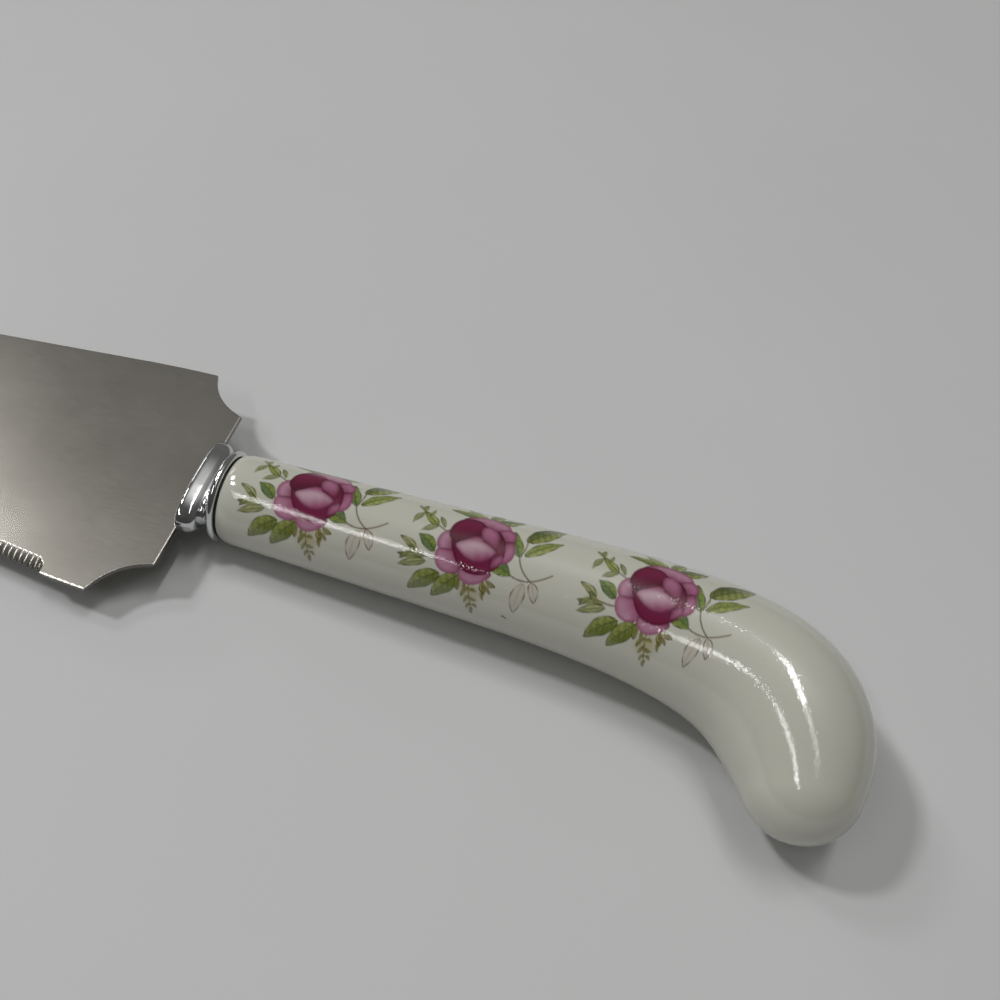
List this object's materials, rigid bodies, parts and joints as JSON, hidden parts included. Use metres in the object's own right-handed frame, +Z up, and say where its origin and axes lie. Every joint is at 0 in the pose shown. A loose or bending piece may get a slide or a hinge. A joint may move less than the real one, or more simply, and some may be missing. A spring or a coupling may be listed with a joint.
{
  "type": "cake knife",
  "caption": "Cake knife with a broad tapering serrated steel blade, a chromed bolster and a curved pistol-grip porcelain handle, lying on its side.",
  "frame": {"origin": "middle of the knife's plan box, on the table that it lies on", "axes": "+X from the blade's tip to the butt of the handle, +Y from the serrated edge to the plain edge, away from the side the handle bends to, +Z up from the table"},
  "size_m": [0.2554, 0.0534, 0.0244],
  "materials": {
    "blade_steel": "satin stainless sheet with a fine grain along the blade and light use scratches",
    "bolster_chrome": "polished chrome plating",
    "joint_dark": "thin line of set resin, darkened and slightly green",
    "porcelain": "glossy off-white glaze with fired rose-spray transfers",
    "cement": "dull set cement, hidden inside the handle"
  },
  "bodies": {
    "root": {"blade": "blade_steel", "bolster": "bolster_chrome", "joint_ring": "joint_dark", "handle": "porcelain", "tang_cement": "cement"}
  },
  "joints": []
}
